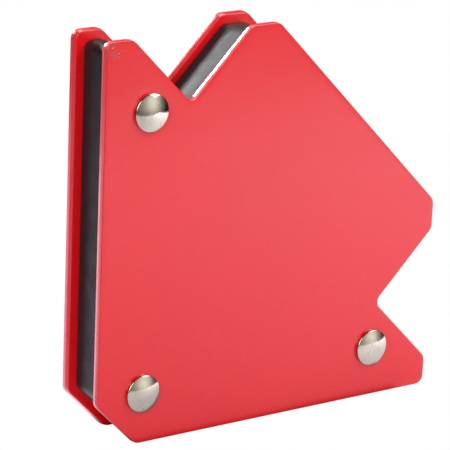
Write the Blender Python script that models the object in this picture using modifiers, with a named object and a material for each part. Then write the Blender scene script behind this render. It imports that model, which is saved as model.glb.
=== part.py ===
"""Arrow-shaped welding magnet holder, 120 x 83 x 13.4 mm.

Two painted steel plates stand either side of a moulded spacer frame that
carries ferrite blocks. Three semi-tubular rivets, each inside a steel sleeve,
clamp the stack together. The outline is a square with one corner drawn out
into an arrowhead: it offers 45, 90 and 135 degree edges for setting up work.

Frame: X right along the base edge, -Y out of the front plate, +Z up. The
origin is under the middle of the holder, on the surface its base stands on.
"""

import math

import bmesh
import bpy
from mathutils import Matrix, Vector

MM = 0.001

# Outline of the steel plates, mirror-symmetric about its diagonal.
SIDE = 85.0 * MM
FOOT_FLAT = 6.2 * MM
NOTCH_DEPTH = 14.6 * MM
HEAD_FLAT = 6.4 * MM
CORNER_CUT = 9.4 * MM

# Corner radii of the plates.
CUT_RADIUS = 2.6 * MM
TOE_RADIUS = 2.0 * MM
HEEL_RADIUS = 2.5 * MM
NOTCH_RADIUS = 1.8 * MM
HEAD_RADIUS = 2.5 * MM

# Stack, front to back.
PLATE_THICKNESS = 2.0 * MM
PLATE_GAP = 9.4 * MM
RIM_ROUNDING = 0.4 * MM
CLEARANCE = 0.3 * MM
STACK = PLATE_GAP + 2.0 * PLATE_THICKNESS
FILLING_DEPTH = PLATE_GAP - 2.0 * CLEARANCE

# Moulded spacer frame.
FRAME_INSET = 2.0 * MM
FRAME_NOTCH_INSET = 1.4 * MM
FRAME_RIM_ROUNDING = 0.4 * MM
FRAME_TOE_RADIUS = 1.9 * MM
FRAME_NOTCH_RADIUS = 1.2 * MM
EDGE_WALL = 2.5 * MM
POCKET_WEB = 2.6 * MM
POCKET_RADIUS = 1.0 * MM

# Ferrite blocks, all alike.
MAGNET_LENGTH = 20.0 * MM
MAGNET_WIDTH = 12.0 * MM
MAGNET_CHAMFER = 0.6 * MM

# Rivets and the sleeves round them.
RIVET_INSET = 10.8 * MM
RIVET_FOOT = 69.8 * MM
SHANK_RADIUS = 2.4 * MM
HEAD_DOME_RADIUS = 4.0 * MM
HEAD_HEIGHT = 1.3 * MM
HEAD_SIDE = 0.25 * MM
TAIL_RADIUS = 3.6 * MM
TAIL_HEIGHT = 1.3 * MM
TAIL_MOUTH_RADIUS = 1.5 * MM
TAIL_HOLE_DEPTH = 5.5 * MM
TAIL_HOLE_TIP = 0.7 * MM
SLEEVE_RADIUS = 4.0 * MM

# Tessellation.
ARC_STEP = math.radians(11.25)
POCKET_ARC_STEP = math.radians(45.0)
RIM_SEGMENTS = 2
HOLE_POINTS = 24
TURN_STEPS = 32
DOME_POINTS = 6
CURL_POINTS = 5
WELD_DISTANCE = 0.00001
SHARP_ANGLE = math.radians(35.0)

# Colour, roughness and metallic value of each material.
FINISHES = {
    "red_enamel": ((0.72, 0.03, 0.04), 0.32, 0.0),
    "black_moulding": ((0.02, 0.02, 0.023), 0.42, 0.0),
    "ferrite": ((0.06, 0.06, 0.065), 0.62, 0.0),
    "nickel_plate": ((0.72, 0.69, 0.64), 0.22, 1.0),
    "zinc_plate": ((0.6, 0.61, 0.62), 0.4, 1.0),
}

# Local +Z of a flat or turned piece becomes -Y, so a rivet's head faces front.
STAND_UP = Matrix.Rotation(math.radians(90.0), 4, "X")


def clear_scene():
    """Remove whatever the file holds."""
    for item in list(bpy.data.objects):
        bpy.data.objects.remove(item, do_unlink=True)


def make_materials():
    """One Principled material for each finish."""
    made = {}
    for name, (colour, roughness, metallic) in FINISHES.items():
        material = bpy.data.materials.new(name)
        material.use_nodes = True
        shader = material.node_tree.nodes["Principled BSDF"]
        shader.inputs["Base Color"].default_value = (*colour, 1.0)
        shader.inputs["Roughness"].default_value = roughness
        shader.inputs["Metallic"].default_value = metallic
        material.diffuse_color = (*colour, 1.0)
        made[name] = material
    return made


def plate_corners():
    """Corner points of the plate, clockwise from the cut corner, with radii."""
    notch = FOOT_FLAT + NOTCH_DEPTH
    head = notch + NOTCH_DEPTH
    upper = [
        ((0.0, CORNER_CUT), CUT_RADIUS),
        ((0.0, SIDE), TOE_RADIUS),
        ((FOOT_FLAT, SIDE), HEEL_RADIUS),
        ((notch, SIDE - NOTCH_DEPTH), NOTCH_RADIUS),
        ((head, SIDE), HEAD_RADIUS),
        ((head + HEAD_FLAT, SIDE), HEAD_RADIUS),
    ]
    lower = [((z, x), radius) for (x, z), radius in reversed(upper)]
    return upper + lower


def inset_corners(corners, insets):
    """Move every side of a clockwise outline inwards by its own distance."""
    points = [Vector(point) for point, _ in corners]
    count = len(points)
    moved = []
    for index, point in enumerate(points):
        before = (point - points[index - 1]).normalized()
        after = (points[(index + 1) % count] - point).normalized()
        first = Vector((before.y, -before.x))
        second = Vector((after.y, -after.x))
        overlap = first.dot(second)
        along_first = insets[index - 1] - overlap * insets[index]
        along_second = insets[index] - overlap * insets[index - 1]
        shift = (first * along_first + second * along_second) / (1.0 - overlap**2)
        moved.append(point + shift)
    return moved


def frame_corners():
    """Corner points of the moulded frame, with radii."""
    plate = plate_corners()
    insets = []
    radii = []
    for index, (_, radius) in enumerate(plate):
        _, next_radius = plate[(index + 1) % len(plate)]
        in_notch = NOTCH_RADIUS in (radius, next_radius)
        insets.append(FRAME_NOTCH_INSET if in_notch else FRAME_INSET)
        if radius == TOE_RADIUS:
            radius = FRAME_TOE_RADIUS
        if radius == NOTCH_RADIUS:
            radius = FRAME_NOTCH_RADIUS
        radii.append(radius)
    return list(zip(inset_corners(plate, insets), radii))


def rounded(corners, arc_step=ARC_STEP):
    """Points of an outline whose corners are arcs of the given radii."""
    outline = []
    count = len(corners)
    for index, (corner, radius) in enumerate(corners):
        corner = Vector(corner)
        back = (Vector(corners[index - 1][0]) - corner).normalized()
        ahead = (Vector(corners[(index + 1) % count][0]) - corner).normalized()
        half_angle = back.angle(ahead) / 2.0
        centre = corner + (back + ahead).normalized() * (radius / math.sin(half_angle))
        start = corner + back * (radius / math.tan(half_angle)) - centre
        end = corner + ahead * (radius / math.tan(half_angle)) - centre
        turn = start.angle_signed(end)
        steps = max(2, round(abs(turn) / arc_step))
        for step in range(steps + 1):
            swing = Matrix.Rotation(-turn * step / steps, 2)
            outline.append(centre + swing @ start)
    return outline


def circle(centre, radius):
    """Points of a round hole."""
    angles = [2.0 * math.pi * step / HOLE_POINTS for step in range(HOLE_POINTS)]
    offsets = [Vector((math.cos(angle), math.sin(angle))) * radius for angle in angles]
    return [Vector(centre) + offset for offset in offsets]


def pocket(centre, angle):
    """Points of a block's pocket, a clearance wider than the block all round."""
    half_length = MAGNET_LENGTH / 2.0 + CLEARANCE
    half_width = MAGNET_WIDTH / 2.0 + CLEARANCE
    swing = Matrix.Rotation(angle, 2)
    signs = ((-1.0, -1.0), (-1.0, 1.0), (1.0, 1.0), (1.0, -1.0))
    corners = []
    for across, along in signs:
        offset = swing @ Vector((across * half_width, along * half_length))
        corners.append((Vector(centre) + offset, POCKET_RADIUS))
    return rounded(corners, POCKET_ARC_STEP)


def rivet_places():
    """Centre of each rivet in the plane of the plates."""
    return {
        "corner": (RIVET_INSET, RIVET_INSET),
        "top_foot": (RIVET_INSET, RIVET_FOOT),
        "side_foot": (RIVET_FOOT, RIVET_INSET),
    }


def magnet_places():
    """Centre and turn of each ferrite block in the plane of the plates."""
    edge = FRAME_INSET + EDGE_WALL + CLEARANCE + MAGNET_WIDTH / 2.0
    half_pitch = MAGNET_LENGTH / 2.0 + CLEARANCE + POCKET_WEB / 2.0
    row_pitch = MAGNET_WIDTH + 2.0 * CLEARANCE + POCKET_WEB
    middle = (RIVET_INSET + RIVET_FOOT) / 2.0 + CLEARANCE
    places = {}
    for name, along in (("inner", middle - half_pitch), ("outer", middle + half_pitch)):
        places[f"magnet_left_{name}"] = ((edge, along), 0.0)
        places[f"magnet_base_{name}"] = ((along, edge), math.radians(90.0))
    head_end = SIDE + FOOT_FLAT + 2.0 * NOTCH_DEPTH + HEAD_FLAT
    slope_row = head_end / math.sqrt(2.0) - edge
    slanted = {
        "magnet_slope_upper": (slope_row, -half_pitch),
        "magnet_slope_lower": (slope_row, half_pitch),
        "magnet_core_upper": (slope_row - row_pitch, -half_pitch),
        "magnet_core_lower": (slope_row - row_pitch, half_pitch),
        "magnet_centre": (slope_row - 2.0 * row_pitch, 0.0),
    }
    for name, (reach, along) in slanted.items():
        centre = ((reach + along) / math.sqrt(2.0), (reach - along) / math.sqrt(2.0))
        places[name] = (centre, math.radians(45.0))
    return places


def to_world(point, depth=0.0):
    """World position of a point on the outline at a depth behind the middle."""
    return Vector((point[0] - SIDE / 2.0, depth, point[1]))


def add_flat_part(name, loops, thickness, depth, rounding, material, collection):
    """A flat piece cut to its outer loop, with its inner loops as openings."""
    curve = bpy.data.curves.new(name, "CURVE")
    curve.dimensions = "2D"
    curve.fill_mode = "BOTH"
    curve.extrude = thickness / 2.0
    for loop in loops:
        spline = curve.splines.new("POLY")
        spline.points.add(len(loop) - 1)
        spline.use_cyclic_u = True
        for knot, point in zip(spline.points, loop):
            knot.co = (point[0], point[1], 0.0, 1.0)
    part = bpy.data.objects.new(name, curve)
    part.matrix_world = Matrix.Translation(to_world((0.0, 0.0), depth)) @ STAND_UP
    curve.materials.append(material)
    collection.objects.link(part)
    weld = part.modifiers.new("close_caps", "WELD")
    weld.merge_threshold = WELD_DISTANCE
    rim = part.modifiers.new("rim", "BEVEL")
    rim.width = rounding
    rim.segments = RIM_SEGMENTS
    rim.limit_method = "ANGLE"
    rim.angle_limit = SHARP_ANGLE
    rim.loop_slide = False
    return part


def add_turned_part(name, profile, place, material, collection, closed=False):
    """A round piece turned from its profile, standing through the stack."""
    mesh = bpy.data.meshes.new(name)
    shape = bmesh.new()
    verts = [shape.verts.new((radius, 0.0, height)) for radius, height in profile]
    for first, second in zip(verts, verts[1:]):
        shape.edges.new((first, second))
    if closed:
        shape.edges.new((verts[-1], verts[0]))
    shape.to_mesh(mesh)
    shape.free()
    mesh.materials.append(material)
    part = bpy.data.objects.new(name, mesh)
    part.matrix_world = Matrix.Translation(to_world(place)) @ STAND_UP
    collection.objects.link(part)
    turn = part.modifiers.new("turn", "SCREW")
    turn.axis = "Z"
    turn.steps = TURN_STEPS
    turn.render_steps = TURN_STEPS
    turn.use_merge_vertices = True
    turn.merge_threshold = WELD_DISTANCE
    turn.use_smooth_shade = True
    return part


def rivet_profile():
    """Domed head, plain shank and hollow tail curled over the rear plate."""
    seat = STACK / 2.0 + CLEARANCE
    crown = seat + HEAD_HEIGHT
    rise = HEAD_HEIGHT - HEAD_SIDE
    sphere = (HEAD_DOME_RADIUS**2 + rise**2) / (2.0 * rise)
    reach = math.asin(HEAD_DOME_RADIUS / sphere)
    profile = [(0.0, crown)]
    for step in range(1, DOME_POINTS + 1):
        angle = reach * step / DOME_POINTS
        profile.append((sphere * math.sin(angle), crown - sphere * (1.0 - math.cos(angle))))
    profile.append((HEAD_DOME_RADIUS, seat + HEAD_SIDE / 3.0))
    profile.append((HEAD_DOME_RADIUS - HEAD_SIDE / 3.0, seat))
    profile.append((SHANK_RADIUS, seat))
    curl_radius = TAIL_HEIGHT / 2.0
    curl_centre = TAIL_RADIUS - curl_radius
    profile.append((SHANK_RADIUS, -seat))
    for step in range(CURL_POINTS + 1):
        angle = math.pi * (0.5 - step / CURL_POINTS)
        radius = curl_centre + curl_radius * math.cos(angle)
        height = -seat - curl_radius + curl_radius * math.sin(angle)
        profile.append((radius, height))
    profile.append(((curl_centre + TAIL_MOUTH_RADIUS) / 2.0, -seat - TAIL_HEIGHT * 0.85))
    profile.append((TAIL_MOUTH_RADIUS, -seat - TAIL_HEIGHT * 0.4))
    profile.append((TAIL_MOUTH_RADIUS, -seat - TAIL_HEIGHT + TAIL_HOLE_DEPTH))
    profile.append((0.0, -seat - TAIL_HEIGHT + TAIL_HOLE_DEPTH + TAIL_HOLE_TIP))
    return profile


def sleeve_profile():
    """Steel tube round the rivet's shank that holds the plates apart."""
    half = FILLING_DEPTH / 2.0
    bore = SHANK_RADIUS + CLEARANCE
    return [(SLEEVE_RADIUS, half), (SLEEVE_RADIUS, -half), (bore, -half), (bore, half)]


def add_magnet(name, centre, angle, material, collection):
    """Sintered ferrite block with chamfered edges, poles facing the plates."""
    mesh = bpy.data.meshes.new(name)
    shape = bmesh.new()
    bmesh.ops.create_cube(shape, size=1.0)
    size = Vector((MAGNET_WIDTH, FILLING_DEPTH, MAGNET_LENGTH))
    bmesh.ops.scale(shape, vec=size, verts=shape.verts)
    shape.to_mesh(mesh)
    shape.free()
    mesh.materials.append(material)
    part = bpy.data.objects.new(name, mesh)
    turn = Matrix.Rotation(-angle, 4, "Y")
    part.matrix_world = Matrix.Translation(to_world(centre)) @ turn
    collection.objects.link(part)
    edge = part.modifiers.new("ground_edges", "BEVEL")
    edge.width = MAGNET_CHAMFER
    edge.segments = 1
    return part


def build():
    """Model every piece of the holder."""
    clear_scene()
    materials = make_materials()
    collection = bpy.data.collections.new("welding_magnet_holder")
    bpy.context.scene.collection.children.link(collection)
    root = bpy.data.objects.new("holder_origin", None)
    collection.objects.link(root)
    parts = []

    rivets = rivet_places()
    shank_holes = [circle(place, SHANK_RADIUS + CLEARANCE) for place in rivets.values()]
    plate_loops = [rounded(plate_corners())] + shank_holes
    plate_depth = (PLATE_GAP + PLATE_THICKNESS) / 2.0
    for name, side in (("front_plate", -1.0), ("rear_plate", 1.0)):
        parts.append(add_flat_part(name, plate_loops, PLATE_THICKNESS, side * plate_depth,
                                   RIM_ROUNDING, materials["red_enamel"], collection))

    magnets = magnet_places()
    sleeve_holes = [circle(place, SLEEVE_RADIUS + CLEARANCE) for place in rivets.values()]
    pockets = [pocket(centre, angle) for centre, angle in magnets.values()]
    frame_loops = [rounded(frame_corners())] + sleeve_holes + pockets
    parts.append(add_flat_part("spacer_frame", frame_loops, FILLING_DEPTH, 0.0,
                               FRAME_RIM_ROUNDING, materials["black_moulding"], collection))

    for name, (centre, angle) in magnets.items():
        parts.append(add_magnet(name, centre, angle, materials["ferrite"], collection))

    for name, place in rivets.items():
        parts.append(add_turned_part(f"rivet_{name}", rivet_profile(), place,
                                     materials["nickel_plate"], collection))
        parts.append(add_turned_part(f"sleeve_{name}", sleeve_profile(), place,
                                     materials["zinc_plate"], collection, closed=True))

    for part in parts:
        part.parent = root


build()
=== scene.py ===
"""Looks of the arrow-shaped welding magnet holder: enamelled plates, black core, nickel rivets."""

import math

import bmesh
import bpy
from mathutils import Matrix, Vector, noise


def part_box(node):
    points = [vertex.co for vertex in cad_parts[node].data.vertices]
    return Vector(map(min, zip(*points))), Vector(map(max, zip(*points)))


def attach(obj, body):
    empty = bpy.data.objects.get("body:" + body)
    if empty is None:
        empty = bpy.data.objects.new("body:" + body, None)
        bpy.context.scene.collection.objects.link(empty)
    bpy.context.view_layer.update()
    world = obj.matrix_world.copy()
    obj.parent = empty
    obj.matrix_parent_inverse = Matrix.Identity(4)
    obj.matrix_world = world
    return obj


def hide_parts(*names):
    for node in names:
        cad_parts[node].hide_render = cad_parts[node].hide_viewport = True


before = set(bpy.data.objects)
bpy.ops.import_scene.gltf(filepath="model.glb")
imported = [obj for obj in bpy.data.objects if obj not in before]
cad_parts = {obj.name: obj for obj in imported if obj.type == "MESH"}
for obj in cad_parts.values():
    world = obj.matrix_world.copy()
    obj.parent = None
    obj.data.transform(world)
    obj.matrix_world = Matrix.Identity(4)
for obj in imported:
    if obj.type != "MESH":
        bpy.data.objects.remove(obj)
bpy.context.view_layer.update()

MM = 0.001

# Lengths are in millimetres where no comment says that they are in metres.

# Plates: the boxes come from the CAD model, and the outline repeats its driving dimensions.
FRONT_LOW, FRONT_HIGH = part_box("front_plate")
REAR_LOW, REAR_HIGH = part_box("rear_plate")
LEFT = FRONT_LOW.x / MM
SIDE = (FRONT_HIGH.x - FRONT_LOW.x) / MM
THICKNESS = (FRONT_HIGH.y - FRONT_LOW.y) / MM
FRONT_FACE = FRONT_LOW.y / MM
REAR_FACE = REAR_HIGH.y / MM
GAP = (REAR_LOW.y - FRONT_HIGH.y) / MM
FOOT_FLAT = 6.2
NOTCH_DEPTH = 14.6
HEAD_FLAT = 6.4
CORNER_CUT = 9.4
CUT_RADIUS = 2.6
TOE_RADIUS = 2.0
HEEL_RADIUS = 2.5
NOTCH_RADIUS = 1.8
HEAD_RADIUS = 2.5

# Blanked edge of a plate: tight corner, roll-over, straight shear, then a break that leans inwards.
CORNER_ROUNDING = 0.16
CORNER_TURN = math.radians(75.0)
CORNER_STEPS = 5
ROLL_INSET = 0.02
ROLL_DEPTH = 0.95
ROLL_STEPS = 5
SHEAR_DEPTH = 1.05
BREAK_INSET = 0.14
BREAK_STEPS = 4
BURR_RADIUS = 0.16
BURR_STEPS = 4
FACE_MARGIN = 1.2
EDGE_WANDER = 0.03
WANDER_SCALE = 0.35

# Press mark the rivet leaves in a plate.
DIMPLE_RADIUS = 5.6
DIMPLE_DEPTH = 0.07
DIMPLE_RINGS = 7

# Core between the plates, with its sleeves and ferrite blocks.
SLEEVE_LOW, SLEEVE_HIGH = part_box("sleeve_corner")
SLEEVE_RADIUS = (SLEEVE_HIGH.x - SLEEVE_LOW.x) / (2.0 * MM)
BLOCK_LOW, BLOCK_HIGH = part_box("magnet_left_inner")
BLOCK_HALF_LENGTH = (BLOCK_HIGH.z - BLOCK_LOW.z) / (2.0 * MM)
BLOCK_HALF_WIDTH = (BLOCK_HIGH.x - BLOCK_LOW.x) / (2.0 * MM)
BLOCK_SLANT = math.radians(45.0)
CORE_INSET = 2.0
CORE_NOTCH_INSET = 1.4
CORE_TOE_RADIUS = 1.9
CORE_NOTCH_RADIUS = 1.2
CORE_ROUNDING = 0.35
CORE_ROUNDING_STEPS = 5
CORE_SEAT_GAP = 0.02
SEAM_HEIGHT = 0.012
SEAM_HALF_WIDTH = 0.12
CLEARANCE = 0.3

# Rivets. The taper is how far the head's side is set in: halfway down, at the face, at its seat.
HEAD_DOME_RADIUS = 3.92
HEAD_SIDE = 0.5
HEAD_EDGE = 0.14
HEAD_EDGE_STEPS = 4
HEAD_EDGE_START = math.radians(28.0)
HEAD_TAPER = (0.02, 0.12, 0.2)
SHANK_RADIUS = 2.4
TAIL_RADIUS = 3.6
TAIL_MOUTH_RADIUS = 1.45
TAIL_HOLE_DEPTH = 5.4
TAIL_CONE_NARROWING = 0.5
TAIL_CONE_DEPTH = 0.45
TAIL_TIP_DEPTH = 0.6

# Lip of the tail's hollow: share of the way from the curl to its mouth, depth below the tail's end.
TAIL_LIP = ((0.35, 0.06), (0.65, 0.22), (0.88, 0.5), (1.0, 0.95))

# The glowing table, in metres: where it ends, and how its painted shadow under the holder fades.
TABLE_FRONT = -0.24
TABLE_RIGHT = 0.215
TABLE_REAR = 0.207
TABLE_LEFT = -0.4
TABLE_HEIGHT = -0.0002
TABLE_CONTACT = 0.004
TABLE_SHADE = 0.030
TABLE_NEAR_SHARE = 0.80

# Its painted glow, in place of the light on a lit table: in front, near the holder and far from it,
# at the left and at the right, and behind it. After that come the distances, or the ratio of two,
# that it changes over.
TABLE_TINT = (0.96, 0.97, 1.10)
TABLE_NEAR_LEFT = 0.65
TABLE_NEAR_RIGHT = 1.56
TABLE_FAR_LEFT = 0.63
TABLE_FAR_RIGHT = 2.15
TABLE_BEHIND = 2.3
TABLE_BESIDE = 0.2
TABLE_REAR_RIGHT = 0.3
FRONT_ACROSS = (-0.03, 0.22)
FRONT_AHEAD = (-0.02, -0.20)
FRONT_TO_REAR = (0.0, 0.012)
REAR_SPREAD = (0.25, 1.1)
REAR_ACROSS = (-0.02, 0.1)
NEAREST_BEHIND = 0.001

# The floor that the camera sees, in metres.
FLOOR_REACH = 4.0
FLOOR_HEIGHT = -0.0004

# Camera: what it aims at and from how far, its angles in degrees, its lens and sensor.
CAMERA_AIM = (-5.465, 3.125, 40.24)
CAMERA_DISTANCE = 596.35
CAMERA_AZIMUTH = 35.894
CAMERA_ELEVATION = 16.613
CAMERA_ROLL = 2.272
LENS = 228.84
SENSOR_WIDTH = 36.0

# What the camera can see, in metres from it.
CLIP_START = 0.01
CLIP_END = 50.0

# Soft panels: name, direction, distance and size in metres, power in watts.
PANEL_TARGET = (0.0, 0.0, 0.045)
PANELS = (
    ("back", (-0.10, 0.91, 0.38), 0.8, (0.20, 0.16), 5.2),
    ("key", (-0.80, -0.55, 0.50), 0.9, (0.60, 0.60), 5.6),
    ("top_right", (0.60, -0.40, 0.75), 0.8, (0.50, 0.50), 4.2),
    ("behind_high", (0.20, 0.60, 0.95), 0.9, (0.50, 0.50), 2.6),
    ("behind", (0.10, 0.97, 0.02), 0.9, (0.70, 0.50), 1.0),
)

# Bright areas of the room: direction, tightness, strength.
ROOM_LIGHTS = (
    ((0.0, -1.0, 0.15), 6.0, 0.2),
    ((0.5, -0.85, 0.25), 9.0, 0.85),
    ((0.1, 1.0, -0.1), 6.0, 0.2),
)

# Colours, as linear red, green and blue.
BLACK = (0.0, 0.0, 0.0)
WHITE = (1.0, 1.0, 1.0)
ENAMEL_DEEP = (0.81, 0.003, 0.006)
ENAMEL_RED = (0.85, 0.004, 0.007)
ENAMEL_BRIGHT = (0.87, 0.006, 0.011)
ENAMEL_THIN = (0.86, 0.17, 0.21)
ENAMEL_SPECK = (0.9, 0.25, 0.25)
BARE_CHIP = (0.17, 0.12, 0.11)
PRIMER_FLECK = (0.9, 0.8, 0.78)
MOULDING_DARK = (0.007, 0.007, 0.009)
MOULDING_BLACK = (0.012, 0.011, 0.014)
DUST = (0.12, 0.115, 0.12)
NICKEL_CLEAN = (0.84, 0.745, 0.60)
NICKEL_STAINED = (0.77, 0.68, 0.54)
NICKEL_PIT = (0.25, 0.21, 0.18)
# The next colour is painted shade on the sides of the rivet heads.
NICKEL_FLANK_SHADE = (0.10, 0.075, 0.065)
FERRITE_DARK = (0.045, 0.045, 0.05)
FERRITE_GREY = (0.085, 0.083, 0.085)
ZINC_DULL = (0.52, 0.53, 0.55)
ZINC_BRIGHT = (0.66, 0.67, 0.68)

# Enamel: how much of the thin colour its edges take, and where the front plate's top is chipped.
EDGE_PALENESS = 0.38
WORN_CORNER = (1.6, 1.8)
WORN_CORE = 0.8
WORN_REACH = 2.6
ENAMEL_IOR = 1.75
MOULDING_IOR = 1.5

# Faces that meet at more than this are shaded with a sharp edge between them.
SHARP_ANGLE = math.radians(50.0)

# Tessellation: outlines, holes, and the dome, tail and round of a rivet.
ARC_STEP = math.radians(3.75)
STRAIGHT_STEP = 1.6
HOLE_POINTS = 64
DOME_STEPS = 18
CURL_STEPS = 12
TURN_STEPS = 96


# ---------------------------------------------------------------- outlines

def plate_corners():
    """Corner points of a plate, clockwise from the cut corner, with their radii."""
    notch = FOOT_FLAT + NOTCH_DEPTH
    head = notch + NOTCH_DEPTH
    upper = [
        ((0.0, CORNER_CUT), CUT_RADIUS),
        ((0.0, SIDE), TOE_RADIUS),
        ((FOOT_FLAT, SIDE), HEEL_RADIUS),
        ((notch, SIDE - NOTCH_DEPTH), NOTCH_RADIUS),
        ((head, SIDE), HEAD_RADIUS),
        ((head + HEAD_FLAT, SIDE), HEAD_RADIUS),
    ]
    lower = [((z, x), radius) for (x, z), radius in reversed(upper)]
    return upper + lower


def core_corners():
    """Corner points of the core: every side set in from the plate's, the notches a little less."""
    plate = plate_corners()
    points = [Vector(point) for point, _ in plate]
    insets = []
    for index, (_, radius) in enumerate(plate):
        _, next_radius = plate[(index + 1) % len(plate)]
        in_notch = NOTCH_RADIUS in (radius, next_radius)
        insets.append(CORE_NOTCH_INSET if in_notch else CORE_INSET)
    radii = {TOE_RADIUS: CORE_TOE_RADIUS, NOTCH_RADIUS: CORE_NOTCH_RADIUS}
    corners = []
    for index, (point, (_, radius)) in enumerate(zip(points, plate)):
        before = (point - points[index - 1]).normalized()
        after = (points[(index + 1) % len(points)] - point).normalized()
        first = Vector((before.y, -before.x))
        second = Vector((after.y, -after.x))
        overlap = first.dot(second)
        along_first = insets[index - 1] - overlap * insets[index]
        along_second = insets[index] - overlap * insets[index - 1]
        shift = (first * along_first + second * along_second) / (1.0 - overlap**2)
        corners.append((point + shift, radii.get(radius, radius)))
    return corners


def outline(corners):
    """Points round a clockwise outline with arcs at its corners: (point, inward direction)."""
    arcs = []
    for index, (corner, radius) in enumerate(corners):
        corner = Vector(corner)
        back = (Vector(corners[index - 1][0]) - corner).normalized()
        ahead = (Vector(corners[(index + 1) % len(corners)][0]) - corner).normalized()
        half_angle = back.angle(ahead) / 2.0
        centre = corner + (back + ahead).normalized() * (radius / math.sin(half_angle))
        start = corner + back * (radius / math.tan(half_angle)) - centre
        end = corner + ahead * (radius / math.tan(half_angle)) - centre
        turn = start.angle_signed(end)
        steps = max(3, round(abs(turn) / ARC_STEP))
        convex = turn > 0.0
        arc = []
        for step in range(steps + 1):
            spoke = Matrix.Rotation(-turn * step / steps, 2) @ start
            inward = -spoke.normalized() if convex else spoke.normalized()
            arc.append((centre + spoke, inward))
        arcs.append(arc)
    points = []
    for index, arc in enumerate(arcs):
        points.extend(arc)
        here, inward = arc[-1]
        there = arcs[(index + 1) % len(arcs)][0][0]
        pieces = max(1, round((there - here).length / STRAIGHT_STEP))
        for piece in range(1, pieces):
            points.append((here.lerp(there, piece / pieces), inward))
    return points


def circle_points(centre, radius, count=HOLE_POINTS):
    """Points of a circle about a centre in the plane of the plates."""
    angles = [2.0 * math.pi * step / count for step in range(count)]
    return [Vector(centre) + Vector((math.cos(a), math.sin(a))) * radius for a in angles]


# ---------------------------------------------------------------- mesh helpers

def ring(shape, points, depth):
    """A closed ring of vertices: points in the plates' plane, depth along Y, in millimetres."""
    return [shape.verts.new((LEFT + point[0], depth, point[1])) for point in points]


def bridge(shape, first, second):
    """Quads between two rings with the same number of vertices."""
    count = len(first)
    for index in range(count):
        after = (index + 1) % count
        shape.faces.new((first[index], first[after], second[after], second[index]))


def fill(shape, rings):
    """Flat face inside the first ring and outside the others."""
    edges = []
    for loop in rings:
        for index, vert in enumerate(loop):
            after = loop[(index + 1) % len(loop)]
            edges.append(shape.edges.get((vert, after)) or shape.edges.new((vert, after)))
    bmesh.ops.triangle_fill(shape, use_beauty=True, use_dissolve=False, edges=edges)


def finish_mesh(shape, name, material, slot, *replaced):
    """Turn a bmesh in millimetres into a smooth piece that stands for its CAD nodes."""
    bmesh.ops.recalc_face_normals(shape, faces=shape.faces)
    bmesh.ops.scale(shape, vec=(MM, MM, MM), verts=shape.verts)
    mesh = bpy.data.meshes.new(name)
    shape.to_mesh(mesh)
    shape.free()
    mesh.shade_smooth()
    mesh.set_sharp_from_angle(angle=SHARP_ANGLE)
    mesh.materials.append(material)
    piece = bpy.data.objects.new(name, mesh)
    bpy.context.scene.collection.objects.link(piece)
    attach(piece, "root")
    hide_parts(*replaced)


def wander(point, depth):
    """Small unevenness of a blanked and painted edge at a point of the outline."""
    where = Vector((point[0], point[1], depth)) * WANDER_SCALE
    return (0.5 + 0.5 * noise.noise(where)) * EDGE_WANDER


# ---------------------------------------------------------------- pieces

def rim_profile():
    """(inset, depth) across a blanked edge, from the outer face to the inner one."""
    profile = [(FACE_MARGIN, 0.0)]
    for step in range(CORNER_STEPS + 1):
        angle = CORNER_TURN * step / CORNER_STEPS
        inset = ROLL_INSET + CORNER_ROUNDING * (1.0 - math.sin(angle))
        profile.append((inset, CORNER_ROUNDING * (1.0 - math.cos(angle))))
    start_inset, start_depth = profile[-1]
    for step in range(1, ROLL_STEPS + 1):
        share = step / ROLL_STEPS
        depth = start_depth + (ROLL_DEPTH - start_depth) * share
        profile.append((start_inset * (1.0 - share) ** 2, depth))
    burr_depth = THICKNESS - BURR_RADIUS
    for step in range(BREAK_STEPS + 1):
        share = step / BREAK_STEPS
        depth = SHEAR_DEPTH + (burr_depth - SHEAR_DEPTH) * share
        profile.append((BREAK_INSET * share, depth))
    for step in range(1, BURR_STEPS + 1):
        angle = math.pi / 2.0 * step / BURR_STEPS
        inset = BREAK_INSET + BURR_RADIUS * (1.0 - math.cos(angle))
        profile.append((inset, burr_depth + BURR_RADIUS * math.sin(angle)))
    profile.append((FACE_MARGIN, THICKNESS))
    return profile


def make_plate(name, outer, inward_y, rivets, material):
    """One blanked steel plate, pressed in a little round its rivets."""
    shape = bmesh.new()
    edge = outline(plate_corners())
    rows = []
    for inset, depth in rim_profile():
        points = [p + n * (inset + wander(p, depth) * (inset < FACE_MARGIN)) for p, n in edge]
        rows.append(ring(shape, points, outer + inward_y * depth))
    for first, second in zip(rows, rows[1:]):
        bridge(shape, first, second)
    outer_holes = []
    inner_holes = []
    for place in rivets:
        rings = []
        for step in range(DIMPLE_RINGS + 1):
            share = step / DIMPLE_RINGS
            radius = DIMPLE_RADIUS + (SHANK_RADIUS + CLEARANCE - DIMPLE_RADIUS) * share
            sunk = DIMPLE_DEPTH * share * share * (3.0 - 2.0 * share)
            rings.append(ring(shape, circle_points(place, radius), outer + inward_y * sunk))
        far_side = circle_points(place, SHANK_RADIUS + CLEARANCE)
        rings.append(ring(shape, far_side, outer + inward_y * THICKNESS))
        for first, second in zip(rings, rings[1:]):
            bridge(shape, first, second)
        outer_holes.append(rings[0])
        inner_holes.append(rings[-1])
    fill(shape, [rows[0]] + outer_holes)
    fill(shape, [rows[-1]] + inner_holes)
    finish_mesh(shape, f"{name}_enamelled", material, "red_enamel", name)


def rivet_places():
    """Centre of each rivet in the plates' plane, from the CAD model."""
    places = {}
    for name in ("corner", "top_foot", "side_foot"):
        low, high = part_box(f"rivet_{name}")
        centre = (low + high) / (2.0 * MM)
        places[name] = Vector((centre.x - LEFT, centre.z))
    return places


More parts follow.
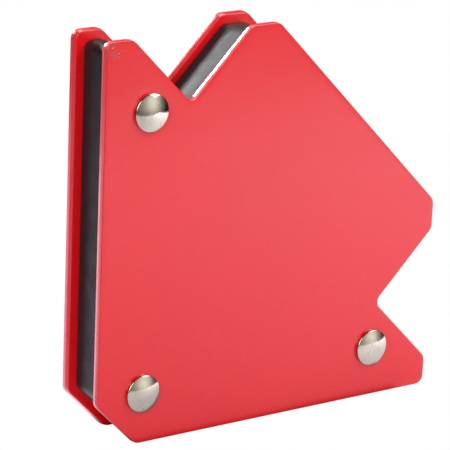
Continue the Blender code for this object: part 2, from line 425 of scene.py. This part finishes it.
def pocket_points(node, angle):
    """Corners of the pocket round a ferrite block, a clearance wider than the block."""
    low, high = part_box(node)
    centre = (low + high) / (2.0 * MM)
    size = (high - low) / MM
    middle = Vector((centre.x - LEFT, centre.z))
    if angle:
        half_long, half_wide = BLOCK_HALF_LENGTH, BLOCK_HALF_WIDTH
    else:
        half_long, half_wide = size.z / 2.0, size.x / 2.0
    half_long += CLEARANCE
    half_wide += CLEARANCE
    swing = Matrix.Rotation(angle, 2)
    signs = ((-1.0, -1.0), (-1.0, 1.0), (1.0, 1.0), (1.0, -1.0))
    return [middle + swing @ Vector((a * half_wide, b * half_long)) for a, b in signs]


def make_core(rivets, material):
    """Moulded core: rounded rim, a fine parting seam round its middle, pockets for the blocks."""
    shape = bmesh.new()
    edge = outline(core_corners())
    half = GAP / 2.0 - CORE_SEAT_GAP
    profile = [(CORE_ROUNDING + FACE_MARGIN, -half)]
    for step in range(CORE_ROUNDING_STEPS + 1):
        angle = math.pi / 2.0 * step / CORE_ROUNDING_STEPS
        inset = CORE_ROUNDING * (1.0 - math.sin(angle))
        profile.append((inset, -half + CORE_ROUNDING * (1.0 - math.cos(angle))))
    profile.append((0.0, -2.0 * SEAM_HALF_WIDTH))
    profile.append((0.0, -SEAM_HALF_WIDTH))
    profile.append((-SEAM_HEIGHT, 0.0))
    profile += [(inset, -depth) for inset, depth in reversed(profile[:-1])]
    rows = [ring(shape, [p + n * inset for p, n in edge], depth) for inset, depth in profile]
    for first, second in zip(rows, rows[1:]):
        bridge(shape, first, second)
    openings = [circle_points(place, SLEEVE_RADIUS + CLEARANCE) for place in rivets]
    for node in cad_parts:
        if node.startswith("magnet_"):
            slanted = node.startswith(("magnet_slope", "magnet_core", "magnet_centre"))
            openings.append(pocket_points(node, BLOCK_SLANT if slanted else 0.0))
    fronts = [ring(shape, points, -half) for points in openings]
    backs = [ring(shape, points, half) for points in openings]
    for front, back in zip(fronts, backs):
        bridge(shape, front, back)
    fill(shape, [rows[0]] + fronts)
    fill(shape, [rows[-1]] + backs)
    finish_mesh(shape, "core_moulded", material, "black_moulding", "spacer_frame")


def rivet_profile(crown, tail_end):
    """(radius, depth) from the crown of the head, in front, to the bottom of the tail's hollow."""
    seat = FRONT_FACE + DIMPLE_DEPTH
    shoulder = FRONT_FACE - HEAD_SIDE
    rim = HEAD_DOME_RADIUS - HEAD_EDGE * (1.0 - math.sin(HEAD_EDGE_START))
    rise = shoulder - HEAD_EDGE * math.cos(HEAD_EDGE_START) - crown
    sphere = (rim**2 + rise**2) / (2.0 * rise)
    reach = math.asin(rim / sphere)
    profile = []
    for step in range(1, DOME_STEPS + 1):
        angle = reach * step / DOME_STEPS
        profile.append((sphere * math.sin(angle), crown + sphere * (1.0 - math.cos(angle))))
    for step in range(1, HEAD_EDGE_STEPS + 1):
        share = step / HEAD_EDGE_STEPS
        angle = HEAD_EDGE_START + (math.pi / 2.0 - HEAD_EDGE_START) * share
        radius = HEAD_DOME_RADIUS - HEAD_EDGE * (1.0 - math.sin(angle))
        profile.append((radius, shoulder - HEAD_EDGE * math.cos(angle)))
    for inset, depth in zip(HEAD_TAPER, ((shoulder + FRONT_FACE) / 2.0, FRONT_FACE, seat)):
        profile.append((HEAD_DOME_RADIUS - inset, depth))
    profile.append((SHANK_RADIUS, seat))
    rear_seat = REAR_FACE - DIMPLE_DEPTH
    profile.append((SHANK_RADIUS, rear_seat))
    curl = (tail_end - rear_seat) / 2.0
    middle = TAIL_RADIUS - curl
    for step in range(CURL_STEPS + 1):
        angle = math.pi * (0.5 - step / CURL_STEPS)
        depth = rear_seat + curl - curl * math.sin(angle)
        profile.append((middle + curl * math.cos(angle), depth))
    for share, drop in TAIL_LIP:
        radius = middle + (TAIL_MOUTH_RADIUS - middle) * share
        profile.append((radius, tail_end - drop))
    bottom = tail_end - TAIL_HOLE_DEPTH
    profile.append((TAIL_MOUTH_RADIUS, bottom))
    profile.append((TAIL_MOUTH_RADIUS * TAIL_CONE_NARROWING, bottom - TAIL_CONE_DEPTH))
    return profile, bottom - TAIL_TIP_DEPTH


def make_rivet(name, place, material):
    """Semi-tubular rivet with a low domed head and a tail curled over the rear plate."""
    shape = bmesh.new()
    low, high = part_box(f"rivet_{name}")
    crown = low.y / MM
    profile, hollow = rivet_profile(crown, high.y / MM)
    rows = []
    for radius, depth in profile:
        rows.append(ring(shape, circle_points(place, radius, TURN_STEPS), depth))
    for first, second in zip(rows, rows[1:]):
        bridge(shape, first, second)
    for row, depth in ((rows[0], crown), (rows[-1], hollow)):
        tip = shape.verts.new((LEFT + place.x, depth, place.y))
        for index, vert in enumerate(row):
            shape.faces.new((vert, row[(index + 1) % len(row)], tip))
    finish_mesh(shape, f"rivet_{name}_nickel", material, "nickel_plate", f"rivet_{name}")


# ---------------------------------------------------------------- materials

class Nodes:
    """Short calls for building one material's node tree, with all lengths in metres."""

    def __init__(self, name):
        self.material = bpy.data.materials.new(name)
        self.material.use_nodes = True
        self.tree = self.material.node_tree
        self.shader = self.tree.nodes["Principled BSDF"]
        self.position = self.add("ShaderNodeTexCoord").outputs["Object"]

    def add(self, kind, **settings):
        made = self.tree.nodes.new(kind)
        for key, value in settings.items():
            setattr(made, key, value)
        return made

    def wire(self, source, target):
        if hasattr(source, "is_output"):
            self.tree.links.new(source, target)
        else:
            target.default_value = source

    def math(self, operation, *values):
        made = self.add("ShaderNodeMath", operation=operation)
        for socket, value in zip(made.inputs, values):
            self.wire(value, socket)
        return made.outputs[0]

    def noise(self, scale, detail=3.0, roughness=0.5, vector=None):
        made = self.add("ShaderNodeTexNoise")
        self.wire(vector or self.position, made.inputs["Vector"])
        made.inputs["Scale"].default_value = scale
        made.inputs["Detail"].default_value = detail
        made.inputs["Roughness"].default_value = roughness
        return made.outputs[0]

    def stretched(self, scale, turn=0.0):
        """The position turned about Y by an angle, then scaled along each axis."""
        made = self.add("ShaderNodeMapping")
        self.wire(self.position, made.inputs["Vector"])
        made.inputs["Rotation"].default_value = (0.0, turn, 0.0)
        made.inputs["Scale"].default_value = scale
        return made.outputs[0]

    def cells(self, scale):
        made = self.add("ShaderNodeTexVoronoi")
        self.wire(self.position, made.inputs["Vector"])
        made.inputs["Scale"].default_value = scale
        return made

    def linear(self, value, low, high, start=0.0, end=1.0, kind="LINEAR"):
        """From start to end as the value goes from low to high."""
        made = self.add("ShaderNodeMapRange", interpolation_type=kind)
        for socket, item in zip(made.inputs, (value, low, high, start, end)):
            self.wire(item, socket)
        return made.outputs[0]

    def ramp(self, value, low, high, start=0.0, end=1.0):
        """The same, easing in and out."""
        return self.linear(value, low, high, start, end, "SMOOTHSTEP")

    def blend(self, share, first, second):
        """Number between two others."""
        rest = self.math("SUBTRACT", 1.0, share)
        return self.math("ADD", self.math("MULTIPLY", rest, first),
                         self.math("MULTIPLY", share, second))

    def squareness(self):
        """1 where the surface faces straight along Y, as the plates do, and 0 round their edges."""
        split = self.add("ShaderNodeSeparateXYZ")
        self.wire(self.add("ShaderNodeNewGeometry").outputs["True Normal"], split.inputs[0])
        return self.math("ABSOLUTE", split.outputs[1])

    def mix(self, share, first, second):
        made = self.add("ShaderNodeMix", data_type="RGBA")
        self.wire(share, made.inputs["Factor"])
        for value, socket in ((first, made.inputs[6]), (second, made.inputs[7])):
            self.wire(value if hasattr(value, "is_output") else (*value, 1.0), socket)
        return made.outputs[2]

    def bump(self, height, strength, distance, normal=None):
        made = self.add("ShaderNodeBump")
        made.inputs["Strength"].default_value = strength
        made.inputs["Distance"].default_value = distance
        self.wire(height, made.inputs["Height"])
        if normal is not None:
            self.wire(normal, made.inputs["Normal"])
        return made.outputs[0]

    def near(self, point, low, high):
        """1 at a point in the object's space, falling to 0 between two distances."""
        made = self.add("ShaderNodeVectorMath", operation="DISTANCE")
        self.wire(self.position, made.inputs[0])
        made.inputs[1].default_value = point
        return self.ramp(made.outputs["Value"], low, high, 1.0, 0.0)

    def set(self, **values):
        for key, value in values.items():
            self.wire(value, self.shader.inputs[key.replace("_", " ")])


def enamel_material():
    """Gloss red enamel on blanked steel: orange peel, thin paler edges, a few specks and chips."""
    n = Nodes("red_enamel")
    body = n.noise(28.0, detail=3.0, roughness=0.55)
    fine = n.noise(420.0, detail=4.0, roughness=0.6)
    colour = n.mix(n.ramp(body, 0.3, 0.7), ENAMEL_DEEP, ENAMEL_RED)
    colour = n.mix(n.ramp(fine, 0.3, 0.7, 0.0, 0.25), colour, ENAMEL_BRIGHT)

    sideways = n.math("SUBTRACT", 1.0, n.squareness())
    patchy = n.ramp(n.noise(260.0, detail=3.0), 0.2, 0.7, 0.55, 1.0)
    thin = n.math("MULTIPLY", n.ramp(sideways, 0.6, 0.98), patchy)
    colour = n.mix(n.math("MULTIPLY", thin, EDGE_PALENESS), colour, ENAMEL_THIN)

    specks = n.cells(110.0)
    chosen = n.add("ShaderNodeSeparateColor")
    n.wire(specks.outputs["Color"], chosen.inputs[0])
    dot = n.math("MULTIPLY", n.ramp(specks.outputs["Distance"], 0.025, 0.06, 1.0, 0.0),
                 n.ramp(chosen.outputs[0], 0.93, 0.95))
    colour = n.mix(n.math("MULTIPLY", dot, 0.35), colour, ENAMEL_SPECK)

    across, down = WORN_CORNER
    corner = (FRONT_LOW.x + across * MM, FRONT_LOW.y, FRONT_HIGH.z - down * MM)
    worn = n.near(corner, WORN_CORE * MM, WORN_REACH * MM)
    chip_noise = n.noise(1700.0, detail=4.0, roughness=0.65)
    chip = n.math("MULTIPLY", worn, n.ramp(chip_noise, 0.54, 0.61))
    colour = n.mix(n.math("MULTIPLY", chip, 0.8), colour, BARE_CHIP)
    fleck = n.math("MULTIPLY", worn, n.ramp(n.noise(2300.0, detail=2.0), 0.68, 0.73))
    colour = n.mix(fleck, colour, PRIMER_FLECK)

    hairlines = n.stretched((60.0, 60.0, 3000.0), turn=0.6)
    scratches = n.noise(1.0, detail=2.0, vector=hairlines)
    rubbed = n.math("MULTIPLY", n.ramp(scratches, 0.74, 0.8),
                    n.ramp(n.noise(45.0, detail=2.0), 0.5, 0.6))
    haze = n.noise(60.0, detail=4.0, roughness=0.6)
    rough = n.math("ADD", n.ramp(haze, 0.3, 0.7, 0.22, 0.27), n.math("MULTIPLY", rubbed, 0.03))
    peel = n.bump(n.noise(900.0, detail=2.0), strength=0.10, distance=0.0002)
    waves = n.bump(n.noise(170.0, detail=2.0), strength=0.10, distance=0.0004, normal=peel)
    dug = n.math("ADD", chip, n.math("MULTIPLY", rubbed, 0.04))
    marks = n.bump(dug, strength=-0.3, distance=0.00005, normal=waves)
    n.set(Base_Color=colour, Roughness=rough, IOR=ENAMEL_IOR, Normal=marks)
    return n.material


def moulding_material():
    """Satin black moulding with a fine grain and a little dust."""
    n = Nodes("black_moulding")
    flow = n.noise(70.0, detail=3.0, vector=n.stretched((1.0, 4.0, 1.0)))
    settled = n.ramp(n.noise(900.0, detail=5.0, roughness=0.7), 0.62, 0.74)
    colour = n.mix(n.ramp(flow, 0.3, 0.7), MOULDING_DARK, MOULDING_BLACK)
    colour = n.mix(n.math("MULTIPLY", settled, 0.12), colour, DUST)
    rough = n.ramp(n.noise(300.0, detail=3.0), 0.3, 0.7, 0.42, 0.52)
    ripple = n.bump(n.noise(210.0, detail=2.0), strength=0.25, distance=0.0003)
    grain = n.bump(n.noise(2600.0, detail=3.0, roughness=0.6), strength=0.4, distance=0.0001,
                   normal=ripple)
    n.set(Base_Color=colour, Roughness=rough, IOR=MOULDING_IOR, Normal=grain)
    return n.material


def nickel_material():
    """Bright nickel plate, softly polished, rougher round the sides with painted shade there, with
    stains, lines and pits.
    """
    n = Nodes("nickel_plate")
    stain = n.noise(380.0, detail=4.0, roughness=0.6)
    colour = n.mix(n.ramp(stain, 0.35, 0.7), NICKEL_CLEAN, NICKEL_STAINED)
    pits = n.math("MULTIPLY", n.ramp(n.noise(2400.0, detail=3.0, roughness=0.6), 0.60, 0.67),
                  n.ramp(n.noise(480.0, detail=2.0), 0.52, 0.62))
    colour = n.mix(n.math("MULTIPLY", pits, 0.65), colour, NICKEL_PIT)
    # Painted shade: a head's sides, which face away from Y, are darkened; the same mask makes them
    # rougher.
    flank_shade_and_dulling = n.ramp(n.squareness(), 0.15, 0.5, 1.0, 0.0)
    colour = n.mix(n.math("MULTIPLY", flank_shade_and_dulling, 0.75), colour, NICKEL_FLANK_SHADE)
    polish = n.stretched((700.0, 700.0, 9000.0), turn=0.9)
    lines = n.noise(1.0, detail=3.0, roughness=0.6, vector=polish)
    dulled = n.math("ADD", n.ramp(lines, 0.62, 0.7), flank_shade_and_dulling)
    rough = n.math("ADD", n.ramp(stain, 0.3, 0.7, 0.10, 0.17), n.math("MULTIPLY", dulled, 0.1))
    dents = n.bump(n.noise(500.0, detail=2.0), strength=0.12, distance=0.0003)
    cut = n.math("ADD", pits, n.math("MULTIPLY", lines, 0.15))
    relief = n.bump(cut, strength=-0.3, distance=0.00006, normal=dents)
    n.set(Base_Color=colour, Metallic=1.0, Roughness=rough, Normal=relief)
    return n.material


def ferrite_material():
    """Ground sintered ferrite: dark grey, grainy, with faint grinding lines."""
    n = Nodes("ferrite")
    grain = n.noise(1800.0, detail=5.0, roughness=0.7)
    lines = n.noise(1.0, detail=2.0, vector=n.stretched((120.0, 3000.0, 120.0)))
    colour = n.mix(n.ramp(grain, 0.35, 0.65), FERRITE_DARK, FERRITE_GREY)
    rough = n.ramp(lines, 0.3, 0.7, 0.5, 0.7)
    ground = n.bump(lines, strength=0.2, distance=0.00005)
    relief = n.bump(grain, strength=0.3, distance=0.0001, normal=ground)
    n.set(Base_Color=colour, Roughness=rough, Normal=relief)
    return n.material


def zinc_material():
    """Zinc-plated tube with drawing lines along it."""
    n = Nodes("zinc_plate")
    bloom = n.noise(420.0, detail=4.0, roughness=0.6)
    lines = n.noise(1.0, detail=2.0, vector=n.stretched((2600.0, 60.0, 2600.0)))
    colour = n.mix(n.ramp(bloom, 0.35, 0.65), ZINC_DULL, ZINC_BRIGHT)
    rough = n.ramp(lines, 0.3, 0.7, 0.28, 0.45)
    drawn = n.bump(lines, strength=0.15, distance=0.00005)
    n.set(Base_Color=colour, Metallic=1.0, Roughness=rough, Normal=drawn)
    return n.material


# ---------------------------------------------------------------- studio

def camera():
    """Long lens, from the front left and a little above."""
    azimuth = math.radians(CAMERA_AZIMUTH)
    elevation = math.radians(CAMERA_ELEVATION)
    away = Vector((-math.sin(azimuth) * math.cos(elevation),
                   -math.cos(azimuth) * math.cos(elevation), math.sin(elevation)))
    lens = bpy.data.cameras.new("camera")
    lens.lens = LENS
    lens.sensor_width = SENSOR_WIDTH
    lens.clip_start = CLIP_START
    lens.clip_end = CLIP_END
    seen = bpy.data.objects.new("camera", lens)
    place = Matrix.Translation(Vector(CAMERA_AIM) * MM + away * (CAMERA_DISTANCE * MM))
    turn = away.to_track_quat("Z", "Y").to_matrix().to_4x4()
    roll = Matrix.Rotation(math.radians(CAMERA_ROLL), 4, "Z")
    seen.matrix_world = place @ turn @ roll
    bpy.context.scene.collection.objects.link(seen)
    bpy.context.scene.camera = seen


def area_light(name, direction, distance, size, power):
    """A soft panel that faces the middle of the holder."""
    lamp = bpy.data.lights.new(name, "AREA")
    lamp.shape = "RECTANGLE"
    lamp.size, lamp.size_y = size
    lamp.energy = power
    panel = bpy.data.objects.new(name, lamp)
    towards = Vector(direction).normalized()
    place = Matrix.Translation(Vector(PANEL_TARGET) + towards * distance)
    panel.matrix_world = place @ towards.to_track_quat("Z", "Y").to_matrix().to_4x4()
    bpy.context.scene.collection.objects.link(panel)


def plane(name, low, high, height, material):
    """A flat rectangle under the holder that isn't part of it."""
    mesh = bpy.data.meshes.new(name)
    shape = bmesh.new()
    corners = ((low[0], low[1]), (high[0], low[1]), (high[0], high[1]), (low[0], high[1]))
    shape.faces.new([shape.verts.new((x, y, height)) for x, y in corners])
    shape.to_mesh(mesh)
    shape.free()
    mesh.materials.append(material)
    piece = bpy.data.objects.new(name, mesh)
    bpy.context.scene.collection.objects.link(piece)
    return piece


def glowing(name, colour):
    """Start of a material that gives off light and reflects none."""
    n = Nodes(name)
    n.set(Base_Color=(*BLACK, 1.0), Specular_IOR_Level=0.0, Emission_Color=(*colour, 1.0))
    return n


def floor_material():
    """Pale paper, evenly lit."""
    n = glowing("floor", WHITE)
    n.set(Emission_Strength=1.0)
    return n.material


def table_material():
    """Glowing sheet under the holder, painted with a lit table's light: brightest at front right,
    painted shadow under the holder.
    """
    n = glowing("table", TABLE_TINT)
    split = n.add("ShaderNodeSeparateXYZ")
    n.wire(n.position, split.inputs[0])
    across, along = split.outputs[0], split.outputs[1]

    # Painted light: the glow copies how light falls on a table, brighter to the right and further
    # ahead.
    right = n.linear(across, *FRONT_ACROSS)
    near_side = n.math("MULTIPLY_ADD", right, TABLE_NEAR_RIGHT - TABLE_NEAR_LEFT, TABLE_NEAR_LEFT)
    far_side = n.math("MULTIPLY_ADD", right, TABLE_FAR_RIGHT - TABLE_FAR_LEFT, TABLE_FAR_LEFT)
    front = n.blend(n.linear(along, *FRONT_AHEAD), near_side, far_side)

    outward = n.math("MULTIPLY", n.math("ADD", across, SIDE / 2.0 * MM), -1.0)
    spread = n.math("DIVIDE", outward, n.math("MAXIMUM", along, NEAREST_BEHIND))
    rear_left = n.linear(spread, *REAR_SPREAD, TABLE_BEHIND, TABLE_BESIDE)
    rear = n.blend(n.linear(across, *REAR_ACROSS), rear_left, TABLE_REAR_RIGHT)
    light = n.blend(n.linear(along, *FRONT_TO_REAR), front, rear)

    # Painted shadow: the glow is cut down under the holder and just round it.
    beside = n.math("SUBTRACT", n.math("ABSOLUTE", across), (SIDE / 2.0 - CORNER_CUT) * MM)
    before = n.math("SUBTRACT", n.math("ABSOLUTE", along), REAR_FACE * MM)
    away = n.math("MAXIMUM", beside, before)
    contact = n.linear(away, 0.0, TABLE_CONTACT, 0.0, TABLE_NEAR_SHARE)
    fading = n.linear(away, TABLE_CONTACT, TABLE_SHADE, 0.0, 1.0 - TABLE_NEAR_SHARE)
    shade = n.math("ADD", contact, fading)
    n.set(Emission_Strength=n.math("MULTIPLY", light, shade))
    return n.material


def room():
    """Dim room with soft bright areas, plain white to the camera."""
    world = bpy.data.worlds.new("room")
    world.use_nodes = True
    tree = world.node_tree
    lit = tree.nodes["Background"]
    lit.inputs["Color"].default_value = (*WHITE, 1.0)
    outlook = tree.nodes.new("ShaderNodeTexCoord").outputs["Generated"]
    total = None
    for direction, tightness, strength in ROOM_LIGHTS:
        towards = tree.nodes.new("ShaderNodeVectorMath")
        towards.operation = "DOT_PRODUCT"
        towards.inputs[1].default_value = Vector(direction).normalized()
        tree.links.new(outlook, towards.inputs[0])
        value = towards.outputs["Value"]
        for operation, amount in (("MAXIMUM", 0.0), ("POWER", tightness), ("MULTIPLY", strength)):
            step = tree.nodes.new("ShaderNodeMath")
            step.operation = operation
            tree.links.new(value, step.inputs[0])
            step.inputs[1].default_value = amount
            value = step.outputs[0]
        if total is not None:
            both = tree.nodes.new("ShaderNodeMath")
            tree.links.new(total, both.inputs[0])
            tree.links.new(value, both.inputs[1])
            value = both.outputs[0]
        total = value
    tree.links.new(total, lit.inputs["Strength"])
    white = tree.nodes.new("ShaderNodeBackground")
    white.inputs["Color"].default_value = (*WHITE, 1.0)
    seen = tree.nodes.new("ShaderNodeLightPath")
    blend = tree.nodes.new("ShaderNodeMixShader")
    tree.links.new(seen.outputs["Is Camera Ray"], blend.inputs[0])
    tree.links.new(lit.outputs[0], blend.inputs[1])
    tree.links.new(white.outputs[0], blend.inputs[2])
    tree.links.new(blend.outputs[0], tree.nodes["World Output"].inputs["Surface"])
    bpy.context.scene.world = world
    bpy.context.scene.view_settings.view_transform = "Standard"


def studio():
    """Pale floor for the camera, a glowing table with a painted shadow under the holder, soft
    panels and a dim room.
    """
    reach = (FLOOR_REACH, FLOOR_REACH)
    floor = plane("floor", (-FLOOR_REACH, -FLOOR_REACH), reach, FLOOR_HEIGHT, floor_material())
    for flag in ("visible_diffuse", "visible_glossy", "visible_transmission", "visible_shadow"):
        setattr(floor, flag, False)
    table = plane("table", (TABLE_LEFT, TABLE_FRONT), (TABLE_RIGHT, TABLE_REAR), TABLE_HEIGHT,
                  table_material())
    table.visible_camera = False
    for name, direction, distance, size, power in PANELS:
        area_light(name, direction, distance, size, power)
    room()


# ---------------------------------------------------------------- assembly

def dress_cad_nodes(materials):
    """Blocks and sleeves keep their CAD shape and take a finished material."""
    for name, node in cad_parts.items():
        if name.startswith(("sleeve_", "magnet_")):
            material = materials["zinc" if name.startswith("sleeve_") else "ferrite"]
            node.data.materials.clear()
            node.data.materials.append(material)


def main():
    camera()
    studio()
    materials = {
        "enamel": enamel_material(),
        "moulding": moulding_material(),
        "nickel": nickel_material(),
        "ferrite": ferrite_material(),
        "zinc": zinc_material(),
    }
    rivets = rivet_places()
    make_plate("front_plate", FRONT_FACE, 1.0, rivets.values(), materials["enamel"])
    make_plate("rear_plate", REAR_FACE, -1.0, rivets.values(), materials["enamel"])
    make_core(rivets.values(), materials["moulding"])
    for name, place in rivets.items():
        make_rivet(name, place, materials["nickel"])
    dress_cad_nodes(materials)


main()
